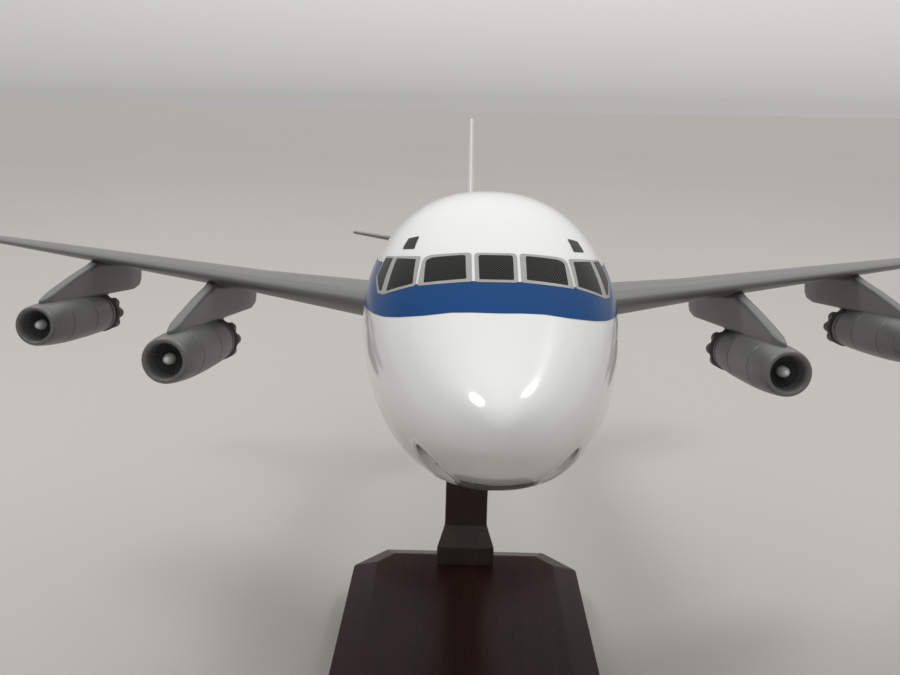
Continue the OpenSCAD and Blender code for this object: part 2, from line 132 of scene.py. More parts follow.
def outside(p):
    """Negative inside the fuselage, positive outside, and smooth near its surface."""
    x, y, z = np.moveaxis(p, -1, 0)
    mid = widest_z(y)
    above = z >= mid
    reach = np.maximum(np.where(above, crown_z(y) - mid, mid - keel_z(y)), 1e-6)
    power = section_power(y, above)
    value = (np.abs(x) / np.maximum(half_width(y), 1e-6)) ** power + (np.abs(z - mid) / reach) ** power
    return np.where(y > 1e-4, value - 1, 1.0)


def normal_at(p):
    step = 1e-3
    grad = np.stack([outside(p + step * axis) - outside(p - step * axis) for axis in np.eye(3)], -1)
    return grad / np.linalg.norm(grad, axis=-1, keepdims=True)


HALVINGS = 48


def cast(origin, direction, far=60.0):
    """Where rays from inside the fuselage leave it, found by halving."""
    near_t = np.zeros(direction.shape[:-1])
    far_t = np.full(direction.shape[:-1], far)
    for _ in range(HALVINGS):
        t = (near_t + far_t) / 2
        inside = outside(origin + t[..., None] * direction) < 0
        near_t, far_t = np.where(inside, t, near_t), np.where(inside, far_t, t)
    return origin + near_t[..., None] * direction


COCKPIT = np.array([0.0, 48.0, 2.0])


def on_nose(az_el):
    """Surface points seen from the cockpit's middle at an azimuth from dead ahead and an elevation."""
    az, el = np.moveaxis(np.radians(az_el), -1, 0)
    return cast(COCKPIT, stacked(np.sin(az) * np.cos(el), -np.cos(az) * np.cos(el), np.sin(el)))


def on_side(yz, side=1):
    """Surface points on one flank at a distance aft and a height."""
    origin = np.insert(np.asarray(yz, float), 0, 0.0, -1)
    direction = np.broadcast_to(np.array([side, 0.0, 0.0]), origin.shape)
    return cast(origin, direction, 25.0)


# ---- mesh helpers
def add_object(name, data):
    obj = bpy.data.objects.new(name, data)
    bpy.context.scene.collection.objects.link(obj)
    return obj


def stands_for(piece, slot, *nodes):
    """Hides the CAD nodes that a piece takes the place of; piece and slot are not used."""
    if nodes:
        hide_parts(*nodes)


def finish_mesh(name, verts, faces, material, body, uv=None):
    mesh = bpy.data.meshes.new(name)
    mesh.from_pydata([tuple(v) for v in verts], [], faces)
    mesh.validate()
    mesh.update()
    if uv is not None:
        layer = mesh.uv_layers.new(name="UVMap")
        loops = np.empty(len(mesh.loops), int)
        mesh.loops.foreach_get("vertex_index", loops)
        layer.data.foreach_set("uv", np.asarray(uv, float)[loops].ravel())
    mesh.shade_smooth()
    mesh.materials.append(material)
    obj = add_object(name, mesh)
    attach(obj, body)
    return obj


def grid_faces(rows, cols, wrap=False, start=0, flip=False):
    faces = []
    for i in range(rows - 1):
        for j in range(cols if wrap else cols - 1):
            k = (j + 1) % cols
            quad = (start + i * cols + j, start + i * cols + k,
                    start + (i + 1) * cols + k, start + (i + 1) * cols + j)
            faces.append(quad[::-1] if flip else quad)
    return faces


def grid_mesh(name, grid, material, caps=False, uv=None, flip=False, hole=None):
    """Airframe surface through closed rings of points, closed over its ends too if caps.
    Faces with a corner marked in hole are left out."""
    rows, cols = grid.shape[:2]
    verts = grid.reshape(-1, 3)
    faces = grid_faces(rows, cols, True, 0, flip)
    if hole is not None:
        faces = [face for face in faces if not any(hole[i] for i in face)]
    coords = None if uv is None else uv.reshape(-1, 2)
    if caps:
        for row, turned in ((0, not flip), (rows - 1, flip)):
            middle = len(verts)
            verts = np.vstack([verts, grid[row].mean(0)])
            if coords is not None:
                coords = np.vstack([coords, uv[row].mean(0)])
            for j in range(cols):
                tri = (middle, row * cols + j, row * cols + (j + 1) % cols)
                faces.append(tri[::-1] if turned else tri)
    return finish_mesh(name, to_row(verts), faces, material, "airframe", coords)


def rounded(corners, radius, arc=6, per_edge=8):
    """Outline through corners, each rounded by a quadratic curve; the same count of points for any sizes."""
    corners = np.asarray(corners, float)
    radii = np.broadcast_to(radius, len(corners))
    ends = []
    for before, corner, after, r in zip(np.roll(corners, 1, 0), corners, np.roll(corners, -1, 0), radii):
        u, v = before - corner, after - corner
        a = corner + u * min(r / np.linalg.norm(u), 0.48)
        b = corner + v * min(r / np.linalg.norm(v), 0.48)
        ends.append((a, corner, b))
    out = []
    for (a, corner, b), (after, _, _) in zip(ends, ends[1:] + ends[:1]):
        out += [(1 - t) ** 2 * a + 2 * t * (1 - t) * corner + t * t * b for t in np.arange(arc) / arc]
        out += [mix(b, after, k / per_edge) for k in range(per_edge)]
    return np.array(out)


def mirrored(corners):
    return [(-across, up) for across, up in corners]


def raised(points, height):
    return points + height * normal_at(points)


# How far the painted areas and the prints over them stand off the skin
PAINT_LIFT, LINE_LIFT, FRAME_LIFT, WINDOW_LIFT, PANE_LIFT = 0.045, 0.07, 0.075, 0.08, 0.085


def decal_fill(outline, place, height, rings=6):
    """Vertices, faces and UVs that fill a convex outline, following the fuselage at a small height."""
    middle, n = outline.mean(0), len(outline)
    flat = np.vstack([middle] + [mix(middle, outline, (k + 1) / rings) for k in range(rings)])
    faces = [(0, 1 + j, 1 + (j + 1) % n) for j in range(n)] + grid_faces(rings, n, True, 1, True)
    return raised(place(flat), height), faces, flat


def decal_band(inner, outer, place, height, rows=3):
    """The same for the strip between two outlines of equally many points."""
    flat = np.vstack([mix(inner, outer, k / (rows - 1)) for k in range(rows)])
    return raised(place(flat), height), grid_faces(rows, len(inner), True, 0, True), flat


def face_outwards(verts, faces):
    """Turns each face so that it faces away from the fuselage's axis."""
    corners = verts[np.array([face[:3] for face in faces])]
    edge_a, edge_b = corners[:, 1] - corners[:, 0], corners[:, 2] - corners[:, 1]
    solid = (np.linalg.norm(edge_a, axis=1) > 1e-7) & (np.linalg.norm(edge_b, axis=1) > 1e-7)
    outwards = (np.cross(edge_a, edge_b) * normal_at(corners[:, 0])).sum(1) >= 0
    return [face if out else face[::-1] for face, ok, out in zip(faces, solid, outwards) if ok]


def decal_strip(name, grid, material, wrap=False, uv=None):
    """Airframe surface through a grid of points, each face turned away from the fuselage's axis."""
    verts = grid.reshape(-1, 3)
    faces = face_outwards(verts, grid_faces(*grid.shape[:2], wrap))
    finish_mesh(name, to_row(verts), faces, material, "airframe", uv)


def decal_object(name, parts, material):
    """One piece made of many decals, each as vertices, faces and UVs."""
    faces, start = [], 0
    for verts, quads, _ in parts:
        faces += [tuple(i + start for i in face) for face in face_outwards(verts, quads)]
        start += len(verts)
    points, _, coords = zip(*parts)
    finish_mesh(name, to_row(np.vstack(points)), faces, material, "airframe", np.vstack(coords))


# ---- materials
class Shader:
    """Nodes of a material, or of the world: add() makes one, and inputs are values or (node, output)."""

    def __init__(self, name, world=False):
        self.owner = (bpy.data.worlds if world else bpy.data.materials).new(name)
        self.owner.use_nodes = True
        self.tree = self.owner.node_tree
        self.tree.nodes.clear()
        self.coords = self.add("TexCoord")
        self.surface = self.add("Background" if world else "BsdfPrincipled")
        self.add("OutputWorld" if world else "OutputMaterial", {"Surface": (self.surface, 0)})

    def plug(self, node, inputs):
        for key, value in inputs.items():
            socket = node.inputs[key]
            if isinstance(value, tuple) and hasattr(value[0], "outputs"):
                self.tree.links.new(value[0].outputs[value[1]], socket)
            else:
                socket.default_value = value

    def add(self, kind, inputs=None, **settings):
        node = self.tree.nodes.new("ShaderNode" + kind)
        for key, value in settings.items():
            setattr(node, key, value)
        self.plug(node, inputs or {})
        return node

    def finish(self, **inputs):
        self.plug(self.surface, {key.replace("_", " "): value for key, value in inputs.items()})
        return self.owner

    def aircraft(self, axis):
        """The aircraft's own y (1) or z (2) in millimetres."""
        direction = TILT.T[axis] / MM
        offset = SOCKET[axis] - TILT.T[axis] @ POST_TOP
        dot = self.add("VectorMath", {0: (self.coords, "Object"), 1: tuple(direction)},
                       operation="DOT_PRODUCT")
        return self.math("ADD", (dot, 1), float(offset))

    def noise(self, size_mm, detail=3.0, stretch=(1, 1, 1), distortion=0.0):
        """Noise whose features are about size_mm across, from 0 to 1."""
        where = self.add("Mapping", {"Vector": (self.coords, "Object"),
                                     "Scale": tuple(1 / (size_mm * MM * s) for s in stretch)})
        return (self.add("TexNoise", {"Vector": (where, 0), "Scale": 1.0, "Detail": detail,
                                      "Distortion": distortion}), 0)

    def math(self, operation, a, b=0.0, c=None):
        inputs = {0: a, 1: b} if c is None else {0: a, 1: b, 2: c}
        return (self.add("Math", inputs, operation=operation), 0)

    def times(self, a, b):
        return self.math("MULTIPLY", a, b)

    def rest(self, value):
        """What is left of 1."""
        return self.math("SUBTRACT", 1.0, value)

    def uv(self):
        return self.add("SeparateXYZ", {0: (self.coords, "UV")})

    def between(self, value, low, high):
        """Rescales 0..1 to low..high."""
        return self.math("MULTIPLY_ADD", value, high - low, low)

    def step(self, value, edge, soft):
        """0 below the edge, 1 above it, over a width of soft."""
        return (self.add("MapRange", {0: value, 1: edge - soft / 2, 2: edge + soft / 2, 3: 0.0, 4: 1.0},
                         interpolation_type="SMOOTHSTEP"), 0)

    def blend(self, factor, a, b):
        node = self.tree.nodes.new("ShaderNodeMix")
        node.data_type = "RGBA"
        self.plug(node, {0: factor, 6: a, 7: b})
        return (node, 2)

    def bump(self, height, depth_mm, strength):
        return (self.add("Bump", {"Height": height, "Distance": depth_mm * MM, "Strength": strength}), 0)


def rgb(r, g, b):
    return (r, g, b, 1.0)


def tone(colour, k):
    return rgb(*(min(1.0, c * k) for c in colour[:3]))


def drawn_out(times, axis):
    """Stretch for noise that is drawn out along one axis."""
    return tuple(times if i == axis else 1 for i in range(3))


def gloss_paint(name, colour, roughness=0.16, coat=0.5, level=0.5, chin=0.0):
    """Sprayed and lacquered plastic: a faint unevenness in colour and shine, and fine orange peel.
    chin is the strength of a painted shade that turns the lower front of the nose grey, unevenly."""
    s = Shader(name)
    broad, dust = s.noise(22, 2), s.noise(0.35, 4)
    shade = s.blend(broad, tone(colour, 0.965), tone(colour, 1.02))
    if chin:
        # Painted shade: below the nose's middle and near its front, the paint is mixed towards a blotchy grey
        # for the shade that falls under the nose.
        low = s.step(s.aircraft(2), -9.5, 13.0)
        back = s.step(s.aircraft(1), 26.0, 36.0)
        chin_shade = s.times(s.times(s.rest(low), s.rest(back)), s.between(s.noise(5, 3), chin * 0.7, chin * 1.15))
        shade = s.blend(chin_shade, shade, rgb(0.30, 0.29, 0.255))
    shade = s.blend(s.times(s.step(dust, 0.70, 0.06), 0.10), shade, tone(colour, 0.72))
    shine = s.between(broad, roughness * 0.8, roughness * 1.3)
    return s.finish(Base_Color=shade, Roughness=shine, IOR=1.5, Specular_IOR_Level=level,
                    Coat_Weight=coat, Coat_Roughness=0.035, Normal=s.bump(s.noise(2.4, 2), 0.012, 0.2))


def satin_paint(name, colour, roughness=0.42, metallic=0.0, lines=None):
    """Grey paint with a fine tooth; lines is a function that returns a 0..1 panel-line mask."""
    s = Shader(name)
    broad, grain = s.noise(30, 3), s.noise(0.25, 4)
    shade = s.blend(broad, tone(colour, 0.93), tone(colour, 1.06))
    shade = s.blend(s.times(grain, 0.25), shade, tone(colour, 0.86))
    height = s.times(grain, 0.12)
    if lines:
        mask = lines(s)
        shade = s.blend(s.times(mask, 0.55), shade, tone(colour, 0.45))
        height = s.math("SUBTRACT", height, mask)
    shine = s.between(broad, roughness - 0.05, roughness + 0.07)
    return s.finish(Base_Color=shade, Roughness=shine, Metallic=metallic, IOR=1.46,
                    Normal=s.bump(height, 0.06, 0.6))


def lacquered_wood(name, dark, light, along, roughness, level=0.07):
    """Stained mahogany: long pores and ribbon figure along one axis, under lacquer."""
    s = Shader(name)
    ribbon, fibre = s.noise(7, 3, drawn_out(12, along), 0.6), s.noise(0.5, 4, drawn_out(26, along))
    pores = s.step(s.noise(0.28, 2, drawn_out(16, along)), 0.63, 0.05)
    shade = s.blend(ribbon, dark, light)
    shade = s.blend(s.times(fibre, 0.5), shade, tone(dark, 0.7))
    shade = s.blend(s.times(pores, 0.6), shade, tone(dark, 0.35))
    height = s.math("SUBTRACT", s.times(fibre, 0.4), pores)
    shine = s.between(s.noise(9, 3), roughness * 0.8, roughness * 1.4)
    return s.finish(Base_Color=shade, Roughness=shine, IOR=1.5, Specular_IOR_Level=level,
                    Coat_Weight=0.02, Coat_Roughness=0.05, Normal=s.bump(height, 0.02, 0.35))


def metal(name, colour, roughness, streak):
    """Bare metal with fine machining marks along the streak axis."""
    s = Shader(name)
    marks = s.noise(0.12, 3, drawn_out(20, streak))
    shade = s.blend(marks, tone(colour, 0.85), colour)
    shine = s.between(marks, roughness, roughness + 0.15)
    return s.finish(Base_Color=shade, Metallic=1.0, Roughness=shine, Normal=s.bump(marks, 0.01, 0.5))


def felt():
    s = Shader("felt")
    fuzz, fibres = s.noise(0.5, 5), s.noise(0.9, 5, (1, 1, 3), 2.0)
    shade = s.blend(fuzz, rgb(0.012, 0.016, 0.013), rgb(0.035, 0.042, 0.036))
    shade = s.blend(s.times(fibres, 0.4), shade, rgb(0.06, 0.065, 0.06))
    return s.finish(Base_Color=shade, Roughness=0.95, Sheen_Weight=0.4, Sheen_Roughness=0.5,
                    Normal=s.bump(fuzz, 0.25, 0.8))


def halftone_pane(name, dark, light, pitch):
    """Printed pane: a diagonal screen of fine dots. The UVs are in degrees seen from the cockpit."""
    s = Shader(name)
    uv = s.uv()
    turns = 2 * math.pi / pitch
    a, b = (s.math("COSINE", s.times(s.math(way, (uv, 0), (uv, 1)), turns)) for way in ("ADD", "SUBTRACT"))
    dots = s.step(s.math("ADD", a, b), 0.75, 0.5)
    ink = s.blend(s.noise(6, 2), dark, tone(dark, 1.5))
    shade = s.blend(dots, ink, light)
    return s.finish(Base_Color=shade, Roughness=s.between(s.noise(4, 2), 0.15, 0.25), IOR=1.5,
                    Specular_IOR_Level=0.05)


def inlet_paint():
    """Light grey paint inside the inlets, with a painted shadow that turns near black over the upper end,
    under the lip, and a mottled darkening; U runs from the lower end to the upper one.
    """
    s = Shader("inlet_grey")
    # Painted shadow: near black over the upper end of each pocket, under the lip, and a mottled darkening of
    # up to a fifth elsewhere.
    lip_shadow = s.math("MAXIMUM", s.step((s.uv(), 0), 0.62, 0.55), s.times(s.noise(1.5, 3), 0.2))
    shade = s.blend(lip_shadow, rgb(0.60, 0.60, 0.565), rgb(0.03, 0.03, 0.027))
    return s.finish(Base_Color=shade, Roughness=s.between(s.noise(1.0, 2), 0.3, 0.45), IOR=1.5,
                    Normal=s.bump(s.noise(0.4, 2), 0.02, 0.3))


def print_ink(name, colour, roughness=0.28):
    s = Shader(name)
    shade = s.blend(s.noise(0.6, 3), tone(colour, 0.9), tone(colour, 1.06))
    return s.finish(Base_Color=shade, Roughness=s.between(s.noise(3, 2), roughness, roughness + 0.08),
                    IOR=1.5, Normal=s.bump(s.noise(0.3, 2), 0.01, 0.3))


def panel_lines(spans, chords, width):
    """Mask of lines across a wing at span fractions and along it at chord fractions, each line as
    (place, start, end). UV is (span, chord), from 0 to 1 on the top and the bottom alike."""
    def mask(s):
        uv = s.uv()
        total = None
        for axis, places in ((0, spans), (1, chords)):
            for place, low, high in places:
                away = s.math("ABSOLUTE", s.math("SUBTRACT", (uv, axis), place))
                line = s.rest(s.step(away, width[axis], width[axis] * 0.8))
                other = (uv, 1 - axis)
                line = s.times(line, s.step(other, low, 0.002))
                line = s.times(line, s.rest(s.step(other, high, 0.002)))
                total = line if total is None else s.math("MAXIMUM", total, line)
        return total
    return mask


WHITE = rgb(0.79, 0.795, 0.78)
BLUE = rgb(0.005, 0.060, 0.205)
GREY = rgb(0.148, 0.148, 0.142)
body_white = gloss_paint("body_white", WHITE, level=0.32, chin=0.9)
band_blue = gloss_paint("band_blue", BLUE, 0.12, 0.0, 0.06)
belly_grey = gloss_paint("belly_grey", rgb(0.17, 0.17, 0.155), 0.2)
wing_grey = satin_paint("wing_grey", GREY, lines=panel_lines(
    [(0.18, 0.68, 1.0), (0.36, 0.68, 1.0), (0.44, 0.70, 1.0), (0.66, 0.70, 1.0), (0.68, 0.72, 1.0),
     (0.90, 0.72, 1.0), (0.33, 0.05, 0.16), (0.60, 0.05, 0.16)],
    [(0.05, 0.10, 0.97), (0.16, 0.08, 0.97), (0.70, 0.06, 0.90)], (0.0012, 0.0035)))
pylon_grey = satin_paint("pylon_grey", GREY, 0.4)
tail_grey = satin_paint("tail_grey", GREY, lines=panel_lines(
    [(0.06, 0.70, 1.0), (0.93, 0.70, 1.0)], [(0.08, 0.0, 0.97), (0.70, 0.06, 0.93)], (0.003, 0.005)))
fin_white = satin_paint("fin_white", WHITE, 0.2, lines=panel_lines(
    [(0.10, 0.68, 1.0), (0.92, 0.68, 1.0), (0.48, 0.68, 1.0)], [(0.68, 0.10, 0.92)], (0.003, 0.004)))
cowl_grey = satin_paint("cowl_grey", rgb(0.135, 0.135, 0.128), 0.36)
lip_grey = satin_paint("lip_grey", rgb(0.15, 0.15, 0.145), 0.32)
duct_grey = satin_paint("duct_grey", rgb(0.12, 0.12, 0.12), 0.4)
spinner_grey = satin_paint("spinner_grey", rgb(0.80, 0.80, 0.79), 0.3, 0.2)
blade_grey = satin_paint("blade_grey", rgb(0.17, 0.17, 0.17), 0.4, 0.3)
pipe_grey = satin_paint("pipe_grey", rgb(0.085, 0.083, 0.08), 0.45, 0.3)
pane_ink = halftone_pane("pane_ink", rgb(0.003, 0.003, 0.0028), rgb(0.060, 0.060, 0.056), 0.8)
side_pane_ink = halftone_pane("side_pane_ink", rgb(0.006, 0.006, 0.0055), rgb(0.05, 0.05, 0.045), 0.8)
frame_ink = print_ink("frame_ink", rgb(0.33, 0.33, 0.32))
line_ink = print_ink("line_ink", rgb(0.24, 0.24, 0.24))
inlet_grey = inlet_paint()
window_ink = print_ink("window_ink", rgb(0.02, 0.021, 0.024), 0.2)
base_wood = lacquered_wood("base_wood", rgb(0.0195, 0.010, 0.0082), rgb(0.041, 0.0175, 0.0138), 1, 0.2)
post_wood = lacquered_wood("post_wood", rgb(0.063, 0.045, 0.037), rgb(0.100, 0.072, 0.060), 2, 0.26, 0.3)
brass = metal("bush_brass", rgb(0.72, 0.50, 0.22), 0.25, 2)
steel = metal("peg_steel", rgb(0.62, 0.62, 0.62), 0.22, 2)
block_wood = lacquered_wood("block_wood", rgb(0.34, 0.22, 0.12), rgb(0.52, 0.36, 0.20), 1, 0.6)


# ---- fuselage
# Chin air inlet, port side: its edge as azimuth and elevation from the cockpit, upper end first
INLET_EDGE = [(12.5, -14.5), (9.9, -14.7), (7.9, -16.0), (6.5, -18.6), (6.4, -21.2), (9.2, -22.0),
              (10.9, -19.2), (12.4, -17.4)]
# Rings from the rim's outer edge to the pocket's floor: degrees outside the edge, share of its size,
# and height off the skin
INLET_RINGS = [(1.0, 1, 0.01), (0.85, 1, 0.05), (0.4, 1, 0.09), (0.05, 1, 0.05), (0, 0.98, -0.12),
               (0, 0.95, -0.5), (0, 0.86, -1.0), (0, 0.6, -1.25), (0, 0.3, -1.35), (0, 0.02, -1.4)]
RIM_RINGS = 5
# Elevation from which the pocket grows deeper, and over how many degrees
INLET_FOOT, INLET_RISE = -21.6, 8.0


def inlet_outline(side):
    return rounded(INLET_EDGE, 1.2, 8, 3) * np.array([side, 1.0])


def inside_outline(points, outline):
    """Which of the points lie inside a closed outline, by counting crossings."""
    x, y = np.moveaxis(points, -1, 0)
    hits = np.zeros(x.shape, bool)
    for (ax, ay), (bx, by) in zip(outline, np.roll(outline, -1, 0)):
        crosses = (y > ay) != (y > by)
        hits ^= crosses & (x < ax + (y - ay) / (by - ay if by != ay else 1e-9) * (bx - ax))
    return hits


def from_cockpit(p):
    """Azimuth and elevation of points seen from the cockpit's middle."""
    x, y, z = np.moveaxis(p - COCKPIT, -1, 0)
    return np.degrees(stacked(np.arctan2(x, -y), np.arctan2(z, np.hypot(x, y))))


def fuselage_skin():
    nose = NOSE_END * np.linspace(0, 1, 161)[1:] ** 2
    middle = np.linspace(NOSE_END, TAIL_START, 30)[1:]
    tail = TAIL_START + (BODY_LEN - 0.1 - TAIL_START) * np.linspace(0, 1, 70)[1:]
    ys = np.concatenate([[2e-5], nose, middle, tail])
    angles = np.linspace(0, 2 * np.pi, 240, endpoint=False) - np.pi / 2
    grid = body_point(ys[:, None], angles)
    seen = from_cockpit(grid)
    low_front = (grid[..., 1] < 20) & (grid[..., 2] < 0)
    hole = low_front & (inside_outline(seen, inlet_outline(1)) | inside_outline(seen, inlet_outline(-1)))
    skin = grid_mesh("fuselage_skin", grid, body_white, caps=True, hole=hole.ravel())
    stands_for(skin, "body_paint", "fuselage_port", "fuselage_starboard")


def chin_inlets():
    """A rounded rim round each opening in the skin, and the pocket behind it."""
    for label, side in SIDES.items():
        edge = inlet_outline(side)
        middle = edge.mean(0)
        upper = unit((edge[:, 1] - INLET_FOOT) / INLET_RISE)[:, None]
        ahead = np.roll(edge, -1, 0) - np.roll(edge, 1, 0)
        outward = stacked(ahead[:, 1], -ahead[:, 0]) / np.linalg.norm(ahead, axis=1)[:, None]
        outward *= np.sign(((edge - middle) * outward).sum())
        rings = []
        for i, (grow, scale, height) in enumerate(INLET_RINGS):
            surface = on_nose(middle + (edge - middle) * scale + outward * grow)
            sink = height if i < RIM_RINGS else height * mix(0.25, 1.2, upper)
            rings.append(surface + sink * normal_at(surface))
        grid = np.array(rings)
        uv = stacked(upper.T, np.linspace(0, 1, len(rings))[:, None])
        for name, rows, paint in (("rim", slice(0, RIM_RINGS), body_white),
                                  ("pocket", slice(RIM_RINGS - 1, None), inlet_grey)):
            decal_strip(f"chin_inlet_{label}_{name}", grid[rows], paint, True, uv[rows].reshape(-1, 2))


# Cheatline: its edges by azimuth round the nose, then by distance aft along each flank
BAND_LOW = [(0, 4.4), (5, 4.45), (9, 4.3), (15, 3.45), (22, 2.7), (28, 2.35), (36, 2.55), (44, 3.1),
            (52, 3.7)]
BAND_TOP = [(0, 11.7), (6, 11.7), (20, 11.0), (27, 9.9), (33.8, 8.4), (38.3, 8.9), (44, 11.8), (48, 15.2),
            (50.5, 19.4), (52, 21.4)]
BAND_Y = [(36, 3.35, 9.4), (46, 3.45, 9.7), (60, 3.45, 9.8), (330, 3.45, 9.8), (440, 6.2, 9.9)]


def cheatline():
    low, top, flank = (np.array(a, float) for a in (BAND_LOW, BAND_TOP, BAND_Y))
    azimuths = np.concatenate([np.linspace(0, 33.8, 50), np.linspace(33.8, 52, 45)[1:]])
    ys = np.concatenate([np.linspace(37.5, 75, 40), np.linspace(80, 290, 40), np.linspace(293, 440, 60)])

    def strip(stations, lower, upper):
        """Rows of points from the lower edge to the upper one, one row for each station."""
        edges = [np.interp(stations, *edge.T)[:, None] for edge in (lower, upper)]
        heights = mix(*edges, np.linspace(0, 1, 16))
        return stacked(stations[:, None], heights)

    column = np.concatenate([on_nose(strip(azimuths, low, top)),
                             on_side(strip(ys, flank[:, [0, 1]], flank[:, [0, 2]]))])
    starboard = column[::-1] * np.array([-1, 1, 1])
    decal_strip("cheatline", raised(np.concatenate([starboard, column[1:]]), PAINT_LIFT), band_blue)


# Cockpit panes, port side: the glass and the outside of its frame, as azimuth and elevation
PANE_FRONT = ([(9.3, 20.9), (20.3, 20.1), (21.9, 19.0), (18.6, 11.2), (7.4, 12.3)],
              [(7.6, 22.0), (21.9, 21.2), (23.6, 19.8), (20.1, 10.3), (5.9, 11.5)])
PANE_SIDE = ([(26.5, 19.9), (37.9, 21.3), (32.4, 9.0), (22.1, 11.0)],
             [(25.2, 21.0), (40.3, 22.5), (33.2, 8.0), (20.9, 10.4)])
PANE_AFT = ([(41.3, 21.8), (49.6, 22.9), (47.2, 14.9), (37.9, 9.4), (35.8, 9.2)],
            [(40.3, 22.5), (50.9, 23.9), (48.4, 14.6), (38.2, 8.5), (33.2, 8.0)])
PANE_MIDDLE = ([(-5.3, 20.9), (5.3, 20.9), (4.2, 12.15), (-4.2, 12.15)],
               [(-6.7, 21.9), (6.7, 21.9), (5.1, 11.4), (-5.1, 11.4)])
EYEBROW = [(35.2, 32.6), (41.9, 32.0), (39.2, 26.0), (31.5, 25.2)]


def cockpit():
    """Panes as drawn (list) and mirrored, with their frames, and the eyebrow windows."""
    front, side, frames = [], [], []
    both = (list, mirrored)
    panes = [(PANE_MIDDLE, front, (1.0, 1.0, 0.4, 0.4), (list,)),
             (PANE_FRONT, front, (0.9, 1.2, 1.0, 0.3, 0.4), both),
             (PANE_SIDE, side, (0.5, 0.7, 0.3, 0.3), both),
             (PANE_AFT, side, (0.3, 0.6, 0.5, 0.3, 0.2), both)]
    for (glass, edge), group, radii, turns in panes:
        for turn in turns:
            inner, outer = rounded(turn(glass), radii), rounded(turn(edge), np.multiply(radii, 1.6))
            group.append(decal_fill(inner, on_nose, PANE_LIFT))
            frames.append(decal_band(inner, outer, on_nose, FRAME_LIFT))
    for turn in both:
        side.append(decal_fill(rounded(turn(EYEBROW), 0.4), on_nose, PANE_LIFT))
    decal_object("cockpit_front_panes", front, pane_ink)
    decal_object("cockpit_side_panes", side, side_pane_ink)
    decal_object("cockpit_frames", frames, frame_ink)


# Cabin windows stand in the cheatline. Doors and exits are fine printed outlines, each given by its
# front and lower edges, its width and its height.
WINDOW_Z, WINDOW_W, WINDOW_H, WINDOW_STEP = 6.6, 2.3, 3.3, 5.08
FIRST_WINDOW, LAST_WINDOW, LINE_W = 82, 386, 0.22
DOOR_MARGIN, EXIT_MARGIN = 2.2, 0.5
DOORS = {
    "port": [(68, -5.5, 8.6, 18), (366, -4.5, 7.6, 16)],
    "starboard": [(70, -4.5, 6.4, 15), (367, -3.5, 6.2, 14), (98, -15.0, 14, 11), (300, -14.5, 12, 10)],
}
EXITS = [(186, 0.6, 5.2, 9.8), (198, 0.6, 5.2, 9.8)]


def box_outline(y, z, w, h, radius):
    return rounded([(y, z + h), (y + w, z + h), (y + w, z), (y, z)], radius)


def cabin_side(name, side):
    def place(points):
        return on_side(points, side)

    openings = DOORS[name] + EXITS
    windows = []
    for y in np.arange(FIRST_WINDOW, LAST_WINDOW, WINDOW_STEP):
        clear = all(not (d[0] - DOOR_MARGIN < y < d[0] + d[2] + DOOR_MARGIN)
                    for d in openings if d[1] + d[3] > 4)
        over_exit = any(e[0] + EXIT_MARGIN < y < e[0] + e[2] - EXIT_MARGIN for e in EXITS)
        if clear or over_exit:
            outline = box_outline(y - WINDOW_W / 2, WINDOW_Z - WINDOW_H / 2, WINDOW_W, WINDOW_H, 0.9)
            windows.append(decal_fill(outline, place, WINDOW_LIFT, 3))
    decal_object("cabin_windows_" + name, windows, window_ink)
    lines = []
    for y, z, w, h in openings:
        inner = box_outline(y, z, w, h, 1.4)
        outer = box_outline(y - LINE_W, z - LINE_W, w + 2 * LINE_W, h + 2 * LINE_W, 1.5)
        lines.append(decal_band(inner, outer, place, LINE_LIFT, 2))
    decal_object("door_outlines_" + name, lines, line_ink)


# Half width of the grey belly by distance aft; it narrows beside the inlets
BELLY_REACH = [(5.9, 2.0), (6.5, 3.9), (7.3, 3.7), (9.1, 3.7), (10.5, 4.3), (11.4, 5.0), (14, 6.3),
               (20, 7.5), (60, 12.0), (290, 12.0), (425, 3.0)]


def belly_panel():
    """The grey underside, which starts just behind the chin."""
    ys = np.concatenate([5.9 + 69 * np.linspace(0, 1, 60) ** 2, np.linspace(76, 292, 30),
                         np.linspace(295, 425, 50)])
    reach = np.interp(ys, *np.transpose(BELLY_REACH))
    angle = np.arccos(np.clip(reach / half_width(ys), 0, 1) ** (section_power(ys, False) / 2))
    fan = -np.pi / 2 + np.linspace(-1, 1, 41) * (np.pi / 2 - angle[:, None])
    decal_strip("belly_panel", raised(body_point(ys[:, None], fan), PAINT_LIFT), belly_grey)


# ---- wings and tail, as in the CAD
HALF_SPAN, WING_Y, WING_Z = 217.0, 134.6, -5.6
ROOT_CHORD, KINK_CHORD, TIP_CHORD, KINK_X = 104.0, 66.0, 25.0, 70.0
WING_SWEEP, WING_RISE, ROOT_INCIDENCE = 0.7, 0.082, 2.0
# Half of the trailing edges' thickness, the lengths over which tips round off, and the chord fraction
# about which tips shrink
WING_EDGE, TAIL_EDGE, WING_ROUND, TAIL_ROUND, TIP_CENTRE = 0.22, 0.2, 4, 2.0, 0.45
# Root and tip as (distance out, leading edge, chord, height), then the thickness ratio
TAILPLANE = (2, 381.3, 49.2, 6.8), (73, 427.5, 20, 17.2), 0.09
FIN = (6, 363.1, 67.0, 0), (86.5, 418, 27, 0), 0.1


def half_thickness(c):
    return 5 * (0.2969 * np.sqrt(c) - 0.126 * c - 0.3516 * c ** 2 + 0.2843 * c ** 3 - 0.1015 * c ** 4)


def leading_y(x):
    return WING_Y + WING_SWEEP * (x - BODY_HW)


def leading_z(x):
    return WING_Z + WING_RISE * (x - BODY_HW)


